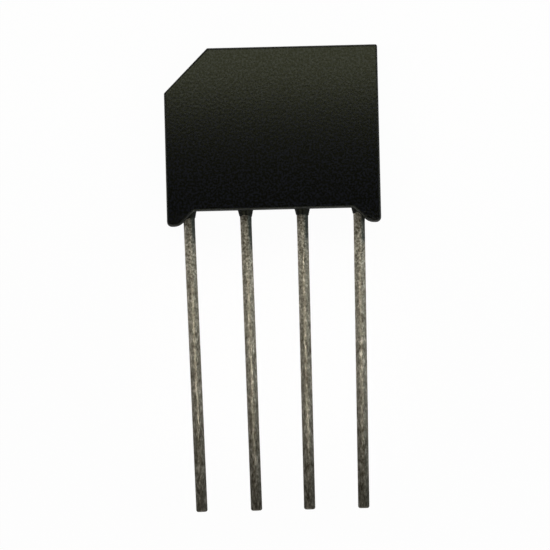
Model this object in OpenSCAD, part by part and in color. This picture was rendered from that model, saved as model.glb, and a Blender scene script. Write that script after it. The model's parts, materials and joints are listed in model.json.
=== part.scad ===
// Four-lead single-in-line bridge rectifier: a moulded resin body with one bevelled corner
// and two feet, and four round wire leads. The leads' coined inner ends cross inside the
// resin, two behind and two in front, with a diode chip soldered in at each crossing.
//
// It lies on its back face. +Z points out of the front face, +X from the positive lead to
// the negative one, and the leads run along -Y. The origin is the middle of the back face.

/* [Moulded body] */
// Width at the parting line
body_w = 14.73; // [14.2:0.01:15.3]
// Height from the recess between the feet to the top
body_h = 11.2; // [10.6:0.01:11.8]
// Thickness from the back face to the front face
body_t = 3.8; // [3.5:0.05:4.2]
// Draft of the side walls, from the parting line in to each face
draft = 2; // [1:0.5:6]
// Leg of the bevelled corner that marks the positive lead
bevel_leg = 3.03; // [2.6:0.01:3.3]

/* [Feet] */
// Drop from the recess to the underside of the feet
foot_h = 1.02; // [0.8:0.02:1.3]
// Width of a foot, to where its underside and its slope would meet
foot_w = 0.85; // [0.85:0.05:1.2]
// Run of the slope between a foot and the recess
foot_run = 1.05; // [0.9:0.05:1.3]
// Radius of a foot's outer corner
foot_corner_r = 0.35; // [0.2:0.05:0.35]
// Radius of the easy round between a foot's underside and its slope
foot_inner_r = 0.9; // [0.3:0.05:0.9]

/* [Resin collars] */
// Length of the collar of resin at the root of each lead
collar_l = 0.4; // [0.2:0.05:0.6]
// Radius of a collar at the recess
collar_root_r = 0.52; // [0.5:0.01:0.7]
// Radius of a collar at its lower end
collar_end_r = 0.44; // [0.43:0.01:0.48]

/* [Ejector marks] */
// Radius of the two shallow marks that the mould's ejector pins leave in the back face
ejector_r = 0.8; // [0.5:0.1:1]
// Depth of the ejector marks
ejector_depth = 0.08; // [0.04:0.02:0.16]
// Distance between the ejector marks
ejector_spacing = 8; // [6:0.5:10]

/* [Leads] */
// Distance between neighbouring leads where they leave the body
lead_pitch = 3.9; // [3.6:0.01:4.06]
// Radius of the tinned wire
wire_r = 0.39; // [0.35:0.01:0.4]
// Length of the wire below the recess
wire_l = 20.65; // [12:0.05:25]
// Radius of the rounded edge at a wire's cut end
tip_r = 0.15; // [0.05:0.01:0.25]
// Extra radius of the wire where coining its inner end has swollen it
root_swell = 0.02; // [0.01:0.005:0.03]
// Lean of the positive lead, tip towards +X, in degrees
lean_positive = 1.15; // [-1.5:0.05:1.5]
// Lean of the first alternating-current lead
lean_ac_1 = 0.75; // [-1.5:0.05:1.5]
// Lean of the second alternating-current lead
lean_ac_2 = 0.05; // [-1.5:0.05:1.5]
// Lean of the negative lead
lean_negative = -0.45; // [-1.5:0.05:1.5]

/* [Coined inner ends] */
// Thickness of the coined strips
strip_t = 0.35; // [0.25:0.01:0.45]
// Width of the strips between the pads
strip_w = 1.2; // [0.9:0.05:1.5]
// Length over which the round wire turns into a flat strip
coining_l = 1.1; // [0.9:0.05:1.5]
// Height of the negative lead's cross bar above the recess
lower_bar_rise = 4; // [3.5:0.1:4.4]
// Distance from the negative lead's cross bar up to the positive lead's
bar_spacing = 4; // [3.4:0.1:4.2]
// Least resin between the positive lead's cross bar and the bevelled corner
bevel_cover = 0.7; // [0.4:0.05:1]

/* [Diode chips] */
// Width of a square chip
chip_w = 1.5; // [1.2:0.05:1.8]
// Thickness of a chip
chip_t = 0.26; // [0.2:0.01:0.32]
// Width and depth of the bevel round a chip's anode face
chip_bevel = 0.1; // [0.06:0.01:0.14]
// Thickness of the solder on each face of a chip
solder_t = 0.05; // [0.03:0.01:0.08]
// Margin from a chip face's edge in to the solder
solder_margin = 0.05; // [0.02:0.01:0.1]
// Margin from a chip's edge out to the edge of the pad that carries it
pad_margin = 0.2; // [0.1:0.05:0.3]

/* [Hidden] */
$fn = 48;
mid_z = body_t / 2;                        // parting line, and the plane of the wires
recess_y = -body_h / 2;
foot_y = recess_y - foot_h;
top_y = body_h / 2;
// How far a wall leans in from the parting line to a face, to the micrometre
wall_lean = round(1000 * mid_z * tan(draft)) / 1000;
bevel_d = (body_w / 2 + top_y - bevel_leg) / sqrt(2); // from the origin to the bevel
slope = atan2(foot_run, foot_h);           // direction that a foot's slope faces, in degrees
slope_d = (body_w / 2 - foot_w) * cos(slope) + foot_y * sin(slope);
round_proud = 0.004;                       // a foot's inner round crosses its walls this far out
reach = 2 * (body_w + body_h + wire_l);    // longer than anything here, for cutting bodies

root_r = wire_r + root_swell;
ball_r = root_r + root_swell;              // the bend of a lead, inside the resin
pad_w = chip_w + 2 * pad_margin;
lower_y = recess_y + lower_bar_rise;
upper_y = lower_y + bar_spacing;
strip_start_y = recess_y + coining_l;

gap_half = chip_t / 2 + solder_t;          // from mid_z to the strips on either side of a chip
back = -1;                                 // side of mid_z that a layer lies on
front = 1;

// Places of the four leads and of the chips at the crossings
positive_x = -1.5 * lead_pitch;
ac_1_x = -0.5 * lead_pitch;
ac_2_x = 0.5 * lead_pitch;
negative_x = 1.5 * lead_pitch;
// For each chip: its centre, and the side that its anode faces
CHIPS = [
    [ac_1_x, upper_y, front],
    [ac_2_x, upper_y, front],
    [ac_1_x, lower_y, back],
    [ac_2_x, lower_y, back],
];

// ---- moulded body ----

// Everything on the inner side of one wall, and as far again past both faces. The wall stands
// at a distance from the origin, square to a direction in the XY plane, and leans by lean
// from the parting line to each face.
module inside_wall(direction, distance, lean)
    rotate([0, 0, direction]) rotate([90, 0, 0])
        linear_extrude(height = reach, center = true)
            polygon([
                [-reach, mid_z - body_t], [distance - 2 * lean, mid_z - body_t],
                [distance, mid_z],
                [distance - 2 * lean, mid_z + body_t], [-reach, mid_z + body_t],
            ]);

// The body's outer walls, with square corners at the feet
module body_block()
    intersection() {
        translate([-reach / 2, -reach / 2, 0]) cube([reach, reach, body_t]);
        inside_wall(0, body_w / 2, wall_lean);
        inside_wall(90, top_y, wall_lean);
        inside_wall(180, body_w / 2, wall_lean);
        inside_wall(270, -foot_y, wall_lean);
        inside_wall(135, bevel_d, wall_lean);
    }

// The space between the feet. Its walls lean outwards, as the mould has to leave it.
module recess_cut()
    intersection() {
        inside_wall(90, recess_y, -wall_lean);
        inside_wall(slope, slope_d, -wall_lean);
        mirror([1, 0, 0]) inside_wall(slope, slope_d, -wall_lean);
    }

// What lies outside a rounded corner of the outline: a wedge from the round's centre, between
// the two directions that its walls face, less the round, which follows the draft
module outside_corner(centre, radius, from, to)
    translate(centre) difference() {
        translate([0, 0, -body_t / 2]) linear_extrude(height = 2 * body_t)
            polygon([
                [0, 0], body_w * [cos(from), sin(from)],
                body_w * [cos((from + to) / 2), sin((from + to) / 2)],
                body_w * [cos(to), sin(to)],
            ]);
        rotate_extrude()
            polygon([
                [0, mid_z - body_t], [radius - 2 * wall_lean, mid_z - body_t],
                [radius, mid_z],
                [radius - 2 * wall_lean, mid_z + body_t], [0, mid_z + body_t],
            ]);
    }

// What the two rounds at the foot on the +X side leave out
module outside_foot() {
    inner_y = foot_y + foot_inner_r - round_proud;
    inner_x = (slope_d + foot_inner_r - round_proud - inner_y * sin(slope)) / cos(slope);
    outside_corner([body_w / 2 - foot_corner_r, foot_y + foot_corner_r, 0],
                   foot_corner_r, 270, 360);
    outside_corner([inner_x, inner_y, 0], foot_inner_r, 180 + slope, 270);
}

// A collar tapers down the root of a lead, from inside the recess wall
module collar(x, lean) {
    taper = (collar_root_r - collar_end_r) / collar_l;
    sink = collar_l / 2;
    along_lead(x, lean) translate([0, 0, -sink])
        cylinder(h = sink + collar_l, r1 = collar_root_r + sink * taper, r2 = collar_end_r);
}

module ejector_marks()
    for (side = [-1, 1])
        translate([side * ejector_spacing / 2, 0, -ejector_depth])
            cylinder(h = 2 * ejector_depth, r = ejector_r);

module moulded_body()
    color([0.13, 0.13, 0.11]) difference() {
        union() {
            difference() {
                body_block();
                recess_cut();
                outside_foot();
                mirror([1, 0, 0]) outside_foot();
            }
            collar(positive_x, lean_positive);
            collar(ac_1_x, lean_ac_1);
            collar(ac_2_x, lean_ac_2);
            collar(negative_x, lean_negative);
        }
        ejector_marks();
        lead_positive();
        lead_ac_1();
        lead_ac_2();
        lead_negative();
        for (n = [1 : len(CHIPS)]) {
            diode_chip(n);
            solder_front(n);
            solder_back(n);
        }
    }

// ---- leads ----

// Puts children that stand along +Z along a lead that leaves the recess at x
module along_lead(x, lean)
    translate([x, recess_y, mid_z]) rotate([90, 90, lean]) children();

// The round wire: swollen at its root, straight below the feet, rounded where it was cut off
module wire(x, lean) {
    along_lead(x, lean) rotate_extrude() {
        polygon([
            [0, 0], [root_r, 0], [wire_r, foot_h], [wire_r, wire_l - tip_r], [0, wire_l - tip_r],
        ]);
        translate([0, wire_l - tip_r]) square([wire_r - tip_r, tip_r]);
        translate([wire_r - tip_r, wire_l - tip_r]) intersection() {
            circle(tip_r);
            square(tip_r);
        }
    }
    translate([x, recess_y, mid_z]) sphere(ball_r);
}

// Gives a flat outline in the XY plane the side view of a coined wire: round where it meets
// the wire at x, flattened over coining_l, then a strip in front of or behind the chips
module coined(x, side) {
    flat_half = 0.9 * wire_r;              // the strip starts out a little thinner than the wire
    near_z = mid_z + side * gap_half;
    far_z = near_z + side * strip_t;
    intersection() {
        linear_extrude(height = body_t) children();
        rotate([90, 0, 90]) linear_extrude(height = reach, center = true)
            polygon([
                [recess_y, mid_z - side * flat_half], [strip_start_y, near_z], [top_y, near_z],
                [top_y, far_z], [strip_start_y, far_z], [recess_y, mid_z + side * flat_half],
            ]);
        union() {
            translate([x, recess_y, mid_z]) rotate([-90, 0, 0])
                cylinder(h = coining_l, r1 = wire_r, r2 = strip_w);
            translate([-reach / 2, strip_start_y, 0]) cube([reach, body_h, body_t]);
        }
    }
}

// Outline of the flare from the wire to a strip of full width
module flare(x)
    polygon([
        [x - wire_r, recess_y], [x + wire_r, recess_y],
        [x + strip_w / 2, strip_start_y], [x - strip_w / 2, strip_start_y],
    ]);

// An outer lead's strip: up from the wire, then across behind both inner leads. Its outer
// corner is cut parallel to the bevel of the body, bevel_cover inside it.
module bus_outline(x, bar_y) {
    outer_x = x - strip_w / 2;
    bar_top = bar_y + pad_w / 2;
    flare(x);
    intersection() {
        polygon([
            [outer_x, strip_start_y], [outer_x, bar_top],
            [ac_2_x + pad_w / 2, bar_top], [ac_2_x + pad_w / 2, bar_y - pad_w / 2],
            [x + strip_w / 2, bar_y - pad_w / 2], [x + strip_w / 2, strip_start_y],
        ]);
        rotate(135) translate([-reach, -reach / 2])
            square([reach + bevel_d - bevel_cover, reach]);
    }
}

// An inner lead's strip: straight up in front of both cross bars, with a pad at each
module crossing_outline(x) {
    flare(x);
    translate([x - strip_w / 2, strip_start_y]) square([strip_w, upper_y - strip_start_y]);
    for (bar_y = [lower_y, upper_y])
        translate([x, bar_y]) square(pad_w, center = true);
}

module lead_positive()
    color([0.66, 0.64, 0.58]) {
        wire(positive_x, lean_positive);
        coined(positive_x, back) bus_outline(positive_x, upper_y);
    }

module lead_ac_1()
    color([0.66, 0.64, 0.58]) {
        wire(ac_1_x, lean_ac_1);
        coined(ac_1_x, front) crossing_outline(ac_1_x);
    }

module lead_ac_2()
    color([0.66, 0.64, 0.58]) {
        wire(ac_2_x, lean_ac_2);
        coined(ac_2_x, front) crossing_outline(ac_2_x);
    }

module lead_negative()
    color([0.66, 0.64, 0.58]) {
        wire(negative_x, lean_negative);
        mirror([1, 0, 0]) coined(-negative_x, back) bus_outline(-negative_x, lower_y);
    }

// ---- diode chips and their solder ----

// Side view of a chip whose anode faces up: bevelled round the anode
module chip_profile()
    polygon([
        [-chip_w / 2, -chip_t / 2], [chip_w / 2, -chip_t / 2],
        [chip_w / 2, chip_t / 2 - chip_bevel], [chip_w / 2 - chip_bevel, chip_t / 2],
        [-chip_w / 2 + chip_bevel, chip_t / 2], [-chip_w / 2, chip_t / 2 - chip_bevel],
    ]);

module diode_chip(n) {
    chip = CHIPS[n - 1];
    color([0.35, 0.36, 0.4]) translate([chip[0], chip[1], mid_z])
        mirror([0, 0, chip[2] == front ? 0 : 1]) intersection() {
            rotate([90, 0, 0]) linear_extrude(height = chip_w, center = true) chip_profile();
            rotate([90, 0, 90]) linear_extrude(height = chip_w, center = true) chip_profile();
        }
}

// The solder between a chip and the strip on one side of it
module solder(n, side) {
    chip = CHIPS[n - 1];
    face_w = chip_w - (chip[2] == side ? 2 * chip_bevel : 0);
    w = face_w - 2 * solder_margin;
    color([0.75, 0.75, 0.72])
        translate([chip[0] - w / 2, chip[1] - w / 2, mid_z + (side == front ? chip_t / 2 : -gap_half)])
            cube([w, w, solder_t]);
}

module solder_front(n) solder(n, front);

module solder_back(n) solder(n, back);

moulded_body();
lead_positive();
lead_ac_1();
lead_ac_2();
lead_negative();
diode_chip(1);  // diode_chip_1
diode_chip(2);  // diode_chip_2
diode_chip(3);  // diode_chip_3
diode_chip(4);  // diode_chip_4
solder_front(1);  // solder_front_1
solder_front(2);  // solder_front_2
solder_front(3);  // solder_front_3
solder_front(4);  // solder_front_4
solder_back(1);  // solder_back_1
solder_back(2);  // solder_back_2
solder_back(3);  // solder_back_3
solder_back(4);  // solder_back_4
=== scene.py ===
"""Looks of a four-lead bridge rectifier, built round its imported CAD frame.

The part lies on its back face, and the camera looks straight down on its front face. The
moulded body is replaced by a mesh with rounded edges, a parting line and mould marks. The
leads, chips and solder keep their CAD meshes and take procedural materials.
"""

import json
import math

import bmesh
import bpy
import numpy as np
from mathutils import Matrix, Vector, noise


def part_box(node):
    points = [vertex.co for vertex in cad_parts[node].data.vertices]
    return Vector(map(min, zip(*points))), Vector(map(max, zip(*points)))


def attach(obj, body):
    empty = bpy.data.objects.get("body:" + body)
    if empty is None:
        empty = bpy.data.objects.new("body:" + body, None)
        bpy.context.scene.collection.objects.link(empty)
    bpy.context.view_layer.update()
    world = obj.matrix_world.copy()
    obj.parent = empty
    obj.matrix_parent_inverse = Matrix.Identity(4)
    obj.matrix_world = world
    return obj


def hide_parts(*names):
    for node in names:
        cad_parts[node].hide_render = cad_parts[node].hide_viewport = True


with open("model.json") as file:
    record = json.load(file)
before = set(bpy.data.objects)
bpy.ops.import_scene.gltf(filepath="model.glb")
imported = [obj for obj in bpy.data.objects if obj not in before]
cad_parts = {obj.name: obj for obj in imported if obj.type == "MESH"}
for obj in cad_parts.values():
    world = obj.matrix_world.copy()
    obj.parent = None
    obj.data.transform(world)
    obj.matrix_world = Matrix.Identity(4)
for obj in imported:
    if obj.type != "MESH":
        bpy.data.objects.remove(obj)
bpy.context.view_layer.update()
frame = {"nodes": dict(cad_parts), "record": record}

MM = 0.001

# ---- sizes of the moulded body that its box doesn't give, in millimetres ----
FOOT_H = 1.02
FOOT_W = 0.85
FOOT_RUN = 1.05
FOOT_CORNER_R = 0.35
FOOT_INNER_R = 0.9
BEVEL_LEG = 3.03
WALL_LEAN = 0.066
CORNER_R = 0.14             # the sharp corners of the outline
RECESS_R = 0.15             # where the feet's slopes meet the recess
EDGE_R = 0.11               # the edges round the front and back faces
EDGE_RIM = 0.08             # a flat rim inside those edges
FLASH_OUT = 0.012           # the ridge that the mould leaves at its parting line
FLASH_HALF_T = 0.03
EJECTOR_R = 0.8
EJECTOR_DEPTH = 0.08
EJECTOR_SPACING = 8

# ---- sizes and counts that only this scene has ----
LEAST_R = 0.02              # the smallest round that an inset outline keeps
ARC_STEPS = 6               # faces round each corner of the outline
EDGE_STEPS = 4              # faces round the edge of a face
ROUND_STEPS = 48            # faces round a collar or a mark
SHARP_ANGLE = 40            # degrees: a bend above this stays a crisp edge
FLOOR_DROP = 0.02           # keeps the floor clear of the back face
RIM_LIFT = 0.16             # how far noise moves a collar's lower rim
RIM_BUMPS = 1.3             # how many bumps go round that rim

# ---- the collars of resin at the lead roots: partly real flash, partly a dark shape put where the roots lie in the body's shade ----
COLLAR_L = 0.4
COLLAR_ROOT_R = 0.52
COLLAR_END_R = 0.44
COLLAR_SINK = 0.3           # how far a collar's mesh starts inside the resin
COLLAR_BORE_R = 0.3         # its last ring, hidden inside the lead
# Down a collar: distance from the recess, radius, and share of the rim's unevenness
COLLAR_RINGS = [
    (-COLLAR_SINK, COLLAR_ROOT_R, 0),
    (-0.02, COLLAR_ROOT_R + 0.03, 0),
    (0.03, COLLAR_ROOT_R, 0.1),
    (0.12, COLLAR_ROOT_R - 0.02, 0.3),
    (COLLAR_L - 0.07, COLLAR_END_R + 0.01, 0.9),
    (COLLAR_L - 0.02, COLLAR_END_R, 1),
    (COLLAR_L, COLLAR_END_R - 0.03, 1),
    (COLLAR_L, COLLAR_BORE_R, 1),
]

LEADS = ["lead_positive", "lead_ac_1", "lead_ac_2", "lead_negative"]

body_lo, body_hi = (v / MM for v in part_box("moulded_body"))
HALF_W = body_hi.x
TOP_Y = body_hi.y
FOOT_Y = body_lo.y
RECESS_Y = -TOP_Y
BODY_T = body_hi.z
MID_Z = BODY_T / 2
TARNISH_AND_SHADE_END_Y = -26         # near the leads' cut ends, where the tarnish and painted shade end darkest


# ---- camera: straight down, rolled a little, from far off ----
PICTURE_W = 37.8            # millimetres across the picture, at the parting line
CAMERA_HEIGHT = 500
CAMERA_ROLL = -1.38
CAMERA_X = -0.03
CAMERA_Y = -10.09
SENSOR_W = 36


def make_camera():
    data = bpy.data.cameras.new("camera")
    data.sensor_width = SENSOR_W
    data.lens = SENSOR_W * CAMERA_HEIGHT / PICTURE_W
    data.clip_start = 0.01
    data.clip_end = 50
    camera = bpy.data.objects.new("camera", data)
    camera.location = Vector((CAMERA_X, CAMERA_Y, MID_Z + CAMERA_HEIGHT)) * MM
    camera.rotation_euler = (0, 0, math.radians(CAMERA_ROLL))
    bpy.context.scene.collection.objects.link(camera)
    bpy.context.scene.camera = camera


# ---- node helpers ----
def new_material(name):
    material = bpy.data.materials.new(name)
    material.use_nodes = True
    nodes = material.node_tree.nodes
    nodes.clear()
    output = nodes.new("ShaderNodeOutputMaterial")
    shader = nodes.new("ShaderNodeBsdfPrincipled")
    material.node_tree.links.new(shader.outputs[0], output.inputs["Surface"])
    return material, material.node_tree, shader


def position(tree, scale=(1, 1, 1)):
    """Object coordinates, in metres, scaled along each axis."""
    coordinates = tree.nodes.new("ShaderNodeTexCoord")
    mapping = tree.nodes.new("ShaderNodeMapping")
    mapping.inputs["Scale"].default_value = scale
    tree.links.new(coordinates.outputs["Object"], mapping.inputs["Vector"])
    return mapping.outputs[0]


def noise_node(tree, vector, size_mm, detail=2, roughness=0.5):
    node = tree.nodes.new("ShaderNodeTexNoise")
    node.inputs["Scale"].default_value = 1 / (size_mm * MM)
    node.inputs["Detail"].default_value = detail
    node.inputs["Roughness"].default_value = roughness
    tree.links.new(vector, node.inputs["Vector"])
    return node.outputs["Fac"]


def ramp(tree, value, *stops):
    """A colour ramp with stops (place, colour)."""
    node = tree.nodes.new("ShaderNodeValToRGB")
    elements = node.color_ramp.elements
    for i, (place, colour) in enumerate(stops):
        element = elements[i] if i < 2 else elements.new(place)
        element.position = place
        element.color = (*colour, 1)
    tree.links.new(value, node.inputs["Fac"])
    return node.outputs["Color"]


def remap(tree, value, from_lo, from_hi, to_lo, to_hi):
    node = tree.nodes.new("ShaderNodeMapRange")
    for socket, number in zip(("From Min", "From Max", "To Min", "To Max"),
                              (from_lo, from_hi, to_lo, to_hi)):
        node.inputs[socket].default_value = number
    tree.links.new(value, node.inputs["Value"])
    return node.outputs[0]


def mix_colour(tree, mode, fac, a, b):
    node = tree.nodes.new("ShaderNodeMix")
    node.data_type = "RGBA"
    node.blend_type = mode
    for socket, value in ((node.inputs[0], fac), (node.inputs[6], a), (node.inputs[7], b)):
        if isinstance(value, bpy.types.NodeSocket):
            tree.links.new(value, socket)
        else:
            socket.default_value = value if isinstance(value, (int, float)) else (*value, 1)
    return node.outputs[2]


def add_values(tree, a, b, b_share=1.0):
    node = tree.nodes.new("ShaderNodeMath")
    node.operation = "MULTIPLY_ADD"
    tree.links.new(b, node.inputs[0])
    node.inputs[1].default_value = b_share
    tree.links.new(a, node.inputs[2])
    return node.outputs[0]


def part_of(tree, name, axis):
    """X, Y or Z of a point's place, in metres ("Object"), or of its surface's facing ("Normal")."""
    coordinates = tree.nodes.new("ShaderNodeTexCoord")
    split = tree.nodes.new("ShaderNodeSeparateXYZ")
    tree.links.new(coordinates.outputs[name], split.inputs[0])
    return split.outputs[axis]


def maths(tree, operation, a, b):
    node = tree.nodes.new("ShaderNodeMath")
    node.operation = operation
    for socket, value in zip(node.inputs, (a, b)):
        if isinstance(value, bpy.types.NodeSocket):
            tree.links.new(value, socket)
        else:
            socket.default_value = value
    return node.outputs[0]


def bump(tree, shader, height, depth_mm):
    node = tree.nodes.new("ShaderNodeBump")
    node.inputs["Strength"].default_value = 1
    node.inputs["Distance"].default_value = depth_mm * MM
    tree.links.new(height, node.inputs["Height"])
    tree.links.new(node.outputs[0], shader.inputs["Normal"])


# ---- materials ----
def resin_material():
    """Black moulding compound: a dull olive sheen, more matt on the walls, and a fine grain."""
    material, tree, shader = new_material("resin")
    place = position(tree)
    grain = noise_node(tree, place, 0.14, detail=1)
    colour = ramp(tree, grain,
                  (0.44, (0.0001, 0.0001, 0.0002)), (0.62, (0.0076, 0.0082, 0.0125)))
    tree.links.new(colour, shader.inputs["Base Color"])
    facing = maths(tree, "ABSOLUTE", part_of(tree, "Normal", "Z"), 0)
    faces = remap(tree, grain, 0.35, 0.65, 0.35, 0.26)
    walls = remap(tree, facing, 0.5, 0.97, 0.5, 0)
    tree.links.new(maths(tree, "ADD", faces, walls), shader.inputs["Roughness"])
    shader.inputs["Specular IOR Level"].default_value = 0.2
    shader.inputs["Specular Tint"].default_value = (0.95, 1.0, 0.68, 1)
    bump(tree, shader, noise_node(tree, place, 0.2, detail=1), 0.008)
    return material


def wire_material():
    """Dull tin plate: grainy at the root, streaked below, darker towards the cut ends, partly from
    tarnish and partly as painted shade for the light's falloff along the leads.

    A dark teal band painted on the side of the root that faces +X is painted shade, on the side
    away from the key light.
    """
    material, tree, shader = new_material("tinned_wire")
    along = part_of(tree, "Object", "Y")
    blotches = noise_node(tree, position(tree, (1, 0.6, 1)), 0.5, detail=2, roughness=0.6)
    grains = noise_node(tree, position(tree, (1, 0.85, 1)), 0.15, detail=2, roughness=0.6)
    streaks = noise_node(tree, position(tree, (1, 0.35, 1)), 0.13, detail=2, roughness=0.6)
    near_root = remap(tree, along, (FOOT_Y - 8) * MM, (FOOT_Y - 2) * MM, 0.25, 1)
    texture = mix_colour(tree, "MIX", near_root, streaks, grains)
    softened = remap(tree, blotches, 0, 1, 0.28, 0.72)
    mottle = remap(tree, add_values(tree, softened, texture, 1.3), 0.8, 1.5, 0, 1)
    colour = ramp(tree, mottle, (0.20, (0.085, 0.072, 0.052)), (0.40, (0.185, 0.172, 0.138)),
                  (0.58, (0.26, 0.243, 0.20)), (0.80, (0.50, 0.465, 0.40)))
    # Lighter near the root and darker towards the cut ends: partly tarnish, partly painted shade
    # standing in for the light's falloff along the leads
    tarnish_and_painted_falloff = remap(tree, along, (FOOT_Y - 2) * MM, TARNISH_AND_SHADE_END_Y * MM, 1.25, 0.33)
    colour = mix_colour(tree, "MULTIPLY", 1.0, colour, tarnish_and_painted_falloff)
    uneven = remap(tree, blotches, 0, 1, -2 * MM, 2 * MM)
    # Painted shade: darkens the +X side of each lead just below the root, where the lead lies in
    # shade
    painted_root_shade = maths(tree, "MULTIPLY",
                  remap(tree, maths(tree, "ADD", along, uneven),
                        (FOOT_Y - 2.2) * MM, (FOOT_Y - 0.4) * MM, 0, 0.85),
                  remap(tree, part_of(tree, "Normal", "X"), 0.1, 0.55, 0, 1))
    colour = mix_colour(tree, "MIX", painted_root_shade, colour, (0.02, 0.032, 0.031))
    tree.links.new(colour, shader.inputs["Base Color"])
    shader.inputs["Metallic"].default_value = 0.7
    shader.inputs["Specular Tint"].default_value = (0.35, 0.35, 0.33, 1)
    tree.links.new(remap(tree, texture, 0.3, 0.7, 0.58, 0.42), shader.inputs["Roughness"])
    bump(tree, shader, texture, 0.018)
    return material


def chip_material():
    """Silicon, grey and metallised, with a fine sawn grain."""
    material, tree, shader = new_material("silicon")
    grain = noise_node(tree, position(tree, (1, 6, 1)), 0.2)
    colour = ramp(tree, grain, (0.3, (0.2, 0.21, 0.24)), (0.7, (0.32, 0.33, 0.36)))
    tree.links.new(colour, shader.inputs["Base Color"])
    shader.inputs["Metallic"].default_value = 0.8
    tree.links.new(remap(tree, grain, 0.3, 0.7, 0.3, 0.45), shader.inputs["Roughness"])
    return material


def solder_material():
    """Soft solder, satin, with a slightly grainy surface."""
    material, tree, shader = new_material("solder")
    grain = noise_node(tree, position(tree), 0.15, detail=3)
    colour = ramp(tree, grain, (0.3, (0.45, 0.45, 0.43)), (0.7, (0.62, 0.62, 0.6)))
    tree.links.new(colour, shader.inputs["Base Color"])
    shader.inputs["Metallic"].default_value = 1
    tree.links.new(remap(tree, grain, 0.3, 0.7, 0.3, 0.5), shader.inputs["Roughness"])
    bump(tree, shader, grain, 0.01)
    return material


def give_material(piece, material):
    if not piece.data.materials:
        piece.data.materials.append(material)
    for i in range(len(piece.data.materials)):
        piece.data.materials[i] = material


# ---- moulded body ----
def direction(degrees):
    return Vector((math.cos(math.radians(degrees)), math.sin(math.radians(degrees))))


def crossing(wall_a, wall_b):
    """The point where two walls meet. A wall is the direction it faces and its distance."""
    (na, da), (nb, db) = wall_a, wall_b
    det = na.x * nb.y - na.y * nb.x
    return Vector(((da * nb.y - db * na.y) / det, (na.x * db - nb.x * da) / det))


SLOPE = math.degrees(math.atan2(FOOT_RUN, FOOT_H))
SLOPE_D = ((HALF_W - FOOT_W) * math.cos(math.radians(SLOPE))
           + FOOT_Y * math.sin(math.radians(SLOPE)))
# Round the body: the direction each wall faces, its distance from the origin, and the
# radius of the corner that leads to the next wall
WALLS = [
    (0, HALF_W, CORNER_R),
    (90, TOP_Y, CORNER_R),
    (135, (HALF_W + TOP_Y - BEVEL_LEG) / math.sqrt(2), CORNER_R),
    (180, HALF_W, FOOT_CORNER_R),
    (270, -FOOT_Y, FOOT_INNER_R),
    (360 - SLOPE, -SLOPE_D, -RECESS_R),
    (270, -RECESS_Y, -RECESS_R),
    (180 + SLOPE, -SLOPE_D, FOOT_INNER_R),
    (270, -FOOT_Y, FOOT_CORNER_R),
]


def outline(inset):
    """The body's outline with every wall moved in by inset, corners rounded."""
    points = []
    for i, (facing, distance, radius) in enumerate(WALLS):
        facing_2, distance_2, _ = WALLS[(i + 1) % len(WALLS)]
        hollow = radius < 0
        r = max(radius - inset, LEAST_R) if not hollow else radius - inset
        shift = inset + r
        centre = crossing((direction(facing), distance - shift),
                          (direction(facing_2), distance_2 - shift))
        turn = (facing_2 - facing + 180) % 360 - 180
        for step in range(ARC_STEPS + 1):
            points.append(centre + abs(r) * (-1 if hollow else 1)
                          * direction(facing + turn * step / ARC_STEPS))
    return points


def side_profile():
    """Height and inset up the side wall: rim, rounded edge, draft, flash at the parting line."""
    def lean(z):
        return FLASH_OUT + WALL_LEAN * (1 - z / MID_Z)

    rows = [(0, lean(0) + EDGE_R + EDGE_RIM)]
    for step in range(EDGE_STEPS + 1):
        t = math.radians(90 * step / EDGE_STEPS)
        z = EDGE_R * (1 - math.cos(t))
        rows.append((z, lean(z) + EDGE_R * (1 - math.sin(t))))
    for z in (0.3 * MID_Z, 0.6 * MID_Z, MID_Z - FLASH_HALF_T):
        rows.append((z, lean(z)))
    upper = [(BODY_T - z, inset) for z, inset in reversed(rows)]
    return rows + [(MID_Z, 0)] + upper


def new_piece(name, mesh):
    piece = bpy.data.objects.new(name, mesh)
    bpy.context.scene.collection.objects.link(piece)
    return piece


def mesh_from(name, build):
    mesh = bpy.data.meshes.new(name)
    shape = bmesh.new()
    build(shape)
    bmesh.ops.recalc_face_normals(shape, faces=shape.faces)
    shape.to_mesh(mesh)
    shape.free()
    return mesh


def join_rings(shape, rings):
    """Faces between each ring of vertices and the next."""
    count = len(rings[0])
    for a, b in zip(rings, rings[1:]):
        for i in range(count):
            j = (i + 1) % count
            shape.faces.new((a[i], a[j], b[j], b[i]))


def build_block(shape):
    loops = []
    for z, inset in side_profile():
        loops.append([shape.verts.new((p.x * MM, p.y * MM, z * MM)) for p in outline(inset)])
    join_rings(shape, loops)
    shape.faces.new(list(reversed(loops[0])))
    shape.faces.new(loops[-1])


def build_cone(shape, start, end, r_start, r_end):
    """A cone frustum from start to end, in millimetres."""
    axis = end - start
    made = bmesh.ops.create_cone(shape, cap_ends=True, segments=ROUND_STEPS,
                                 radius1=r_start * MM, radius2=r_end * MM,
                                 depth=axis.length * MM)
    turn = axis.to_track_quat("Z", "Y").to_matrix().to_4x4()
    place = Matrix.Translation((start + end) / 2 * MM) @ turn
    bmesh.ops.transform(shape, matrix=place, verts=made["verts"])


def lead_line(name):
    """Where a lead's axis leaves the recess, and the direction of its tip."""
    points = np.array([v.co for v in frame["nodes"][name].data.vertices]) / MM
    rings = (points[abs(points[:, 1] - FOOT_Y) < 0.1],
             points[points[:, 1] < points[:, 1].min() + 0.3])
    high, low = (Vector((ring.min(0) + ring.max(0)) / 2) for ring in rings)
    down = Vector((low.x - high.x, low.y - high.y, 0)).normalized()
    root = Vector((high.x, high.y, MID_Z))
    return root + down * (RECESS_Y - root.y) / down.y, down


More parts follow.
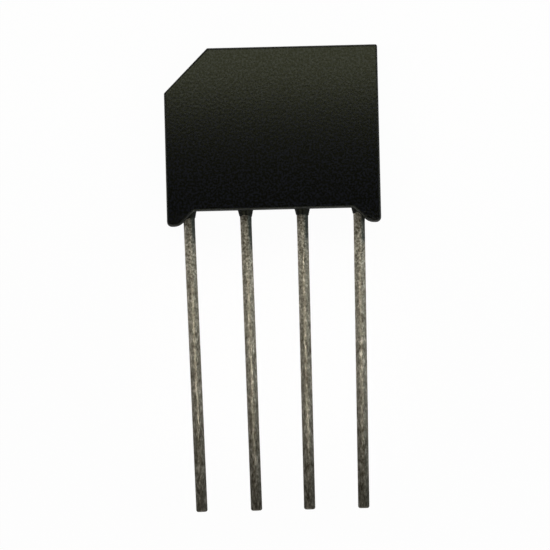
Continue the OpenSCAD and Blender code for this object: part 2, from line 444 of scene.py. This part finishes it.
def build_collar(shape, root, down, seed):
    """A collar of resin round a lead, partly real flash and partly a dark shape standing in for the
    shade at the root: turned about the lead's axis, with an uneven lower rim.
    """
    across = down.cross(Vector((0, 0, 1)))
    rings = []
    for along, radius, uneven in COLLAR_RINGS:
        ring = []
        for step in range(ROUND_STEPS):
            side = direction(360 * step / ROUND_STEPS)
            bumps = noise.noise(Vector((RIM_BUMPS * side.x, RIM_BUMPS * side.y, 7 * seed)))
            outward = across * side.x + Vector((0, 0, side.y))
            spot = root + down * (along + RIM_LIFT * uneven * bumps) + outward * radius
            ring.append(shape.verts.new(spot * MM))
        rings.append(ring)
    join_rings(shape, rings)
    shape.faces.new(rings[0])
    shape.faces.new(rings[-1])


def combine(piece, other, operation):
    """Cuts other out of a piece, or joins it on."""
    change = piece.modifiers.new("change", "BOOLEAN")
    change.operation = operation
    change.solver = "EXACT"
    change.object = other
    graph = bpy.context.evaluated_depsgraph_get()
    mesh = bpy.data.meshes.new_from_object(piece.evaluated_get(graph))
    piece.modifiers.clear()
    piece.data = mesh
    bpy.data.objects.remove(other)


def moulded_body(material):
    body = new_piece("epoxy_body", mesh_from("epoxy_body", build_block))

    def marks(shape):
        for side in (-1, 1):
            x = side * EJECTOR_SPACING / 2
            build_cone(shape, Vector((x, 0, -EJECTOR_DEPTH)), Vector((x, 0, EJECTOR_DEPTH)),
                       EJECTOR_R, EJECTOR_R)

    def collars(shape):
        for seed, name in enumerate(LEADS):
            build_collar(shape, *lead_line(name), seed)

    combine(body, new_piece("marks", mesh_from("marks", marks)), "DIFFERENCE")
    combine(body, new_piece("collars", mesh_from("collars", collars)), "UNION")
    give_material(body, material)
    for polygon in body.data.polygons:
        polygon.use_smooth = True
    body.data.set_sharp_from_angle(angle=math.radians(SHARP_ANGLE))
    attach(body, "root")
    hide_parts("moulded_body")


# ---- floor, world and lights ----
def make_floor():
    """A pale floor that shows white, and keeps a little of the part's shadow."""
    bpy.ops.mesh.primitive_plane_add(size=6, location=(0, 0, -FLOOR_DROP * MM))
    floor = bpy.context.object
    floor.name = "floor"
    material = bpy.data.materials.new("floor")
    material.use_nodes = True
    tree = material.node_tree
    tree.nodes.clear()
    output = tree.nodes.new("ShaderNodeOutputMaterial")
    plain = tree.nodes.new("ShaderNodeBsdfDiffuse")
    plain.inputs["Color"].default_value = (0.5, 0.5, 0.5, 1)
    white = tree.nodes.new("ShaderNodeEmission")
    white.inputs["Strength"].default_value = 1.02
    mix = tree.nodes.new("ShaderNodeMixShader")
    rays = tree.nodes.new("ShaderNodeLightPath")
    total = None
    for name in ("Is Camera Ray", "Is Glossy Ray", "Is Transmission Ray"):
        total = rays.outputs[name] if total is None else add_values(tree, total, rays.outputs[name])
    share = tree.nodes.new("ShaderNodeMath")
    share.operation = "MULTIPLY"
    share.use_clamp = True
    share.inputs[1].default_value = 0.95
    tree.links.new(total, share.inputs[0])
    tree.links.new(share.outputs[0], mix.inputs[0])
    tree.links.new(plain.outputs[0], mix.inputs[1])
    tree.links.new(white.outputs[0], mix.inputs[2])
    tree.links.new(mix.outputs[0], output.inputs["Surface"])
    floor.data.materials.append(material)


def make_world():
    world = bpy.data.worlds.new("world")
    world.use_nodes = True
    background = world.node_tree.nodes["Background"]
    background.inputs["Color"].default_value = (1, 1, 1, 1)
    background.inputs["Strength"].default_value = 0.03
    bpy.context.scene.world = world


def softbox(name, place, target, size, level, colour, spread=180):
    """An area light in millimetres. Level is the light it gives at the target: 1 is plain."""
    place, target = Vector(place), Vector(target)
    aim = target - place
    data = bpy.data.lights.new(name, "AREA")
    data.shape = "RECTANGLE"
    data.size, data.size_y = (s * MM for s in size)
    data.spread = math.radians(spread)
    data.color = colour
    data.energy = level * math.pi ** 2 * (aim.length * MM) ** 2
    lamp = bpy.data.objects.new(name, data)
    lamp.location = place * MM
    lamp.rotation_mode = "QUATERNION"
    lamp.rotation_quaternion = aim.to_track_quat("-Z", "Y")
    lamp.visible_camera = False
    bpy.context.scene.collection.objects.link(lamp)


def make_lights():
    """Each lamp's place, aim, width and height, level and colour."""
    softbox("top_softbox", (0, 7, 21.2), (0, 4, 4), (50, 8), 1.35, (1.0, 1.0, 0.88))
    softbox("left_key", (-26, -36, 40), (0, -14, 2), (20, 24), 0.15, (1.0, 0.96, 0.86))
    softbox("right_key", (26, -36, 40), (0, -14, 2), (20, 24), 0.12, (1.0, 0.96, 0.86))
    # A narrow beam that reaches the leads and not the face
    softbox("lead_key", (0, -16, 46), (0, -16, 2), (16, 13), 0.014, (1.0, 0.96, 0.86), spread=12)
    softbox("right_fill", (55, -12, 30), (0, -12, 2), (30, 24), 0.16, (0.88, 0.98, 1.0))
    softbox("left_fill", (-60, -12, 16), (0, -12, 2), (60, 20), 0.08, (1.0, 0.98, 0.94))
    softbox("front_fill", (0, -90, 20), (0, -10, 2), (70, 24), 0.5, (1.0, 1.0, 1.0))
    softbox("back_fill", (0, 70, 16), (0, 0, 2), (70, 24), 0.6, (1.0, 1.0, 1.0))


# ---- the scene ----
moulded_body(resin_material())
finishes = {"tinned_wire": wire_material(), "silicon": chip_material(), "solder": solder_material()}
for subpart in frame["record"]["subparts"]:
    if subpart["material_slot"] in finishes:
        node = frame["nodes"][subpart["node"]]
        give_material(node, finishes[subpart["material_slot"]])

make_floor()
make_world()
make_lights()
make_camera()
bpy.context.scene.view_settings.view_transform = "Standard"
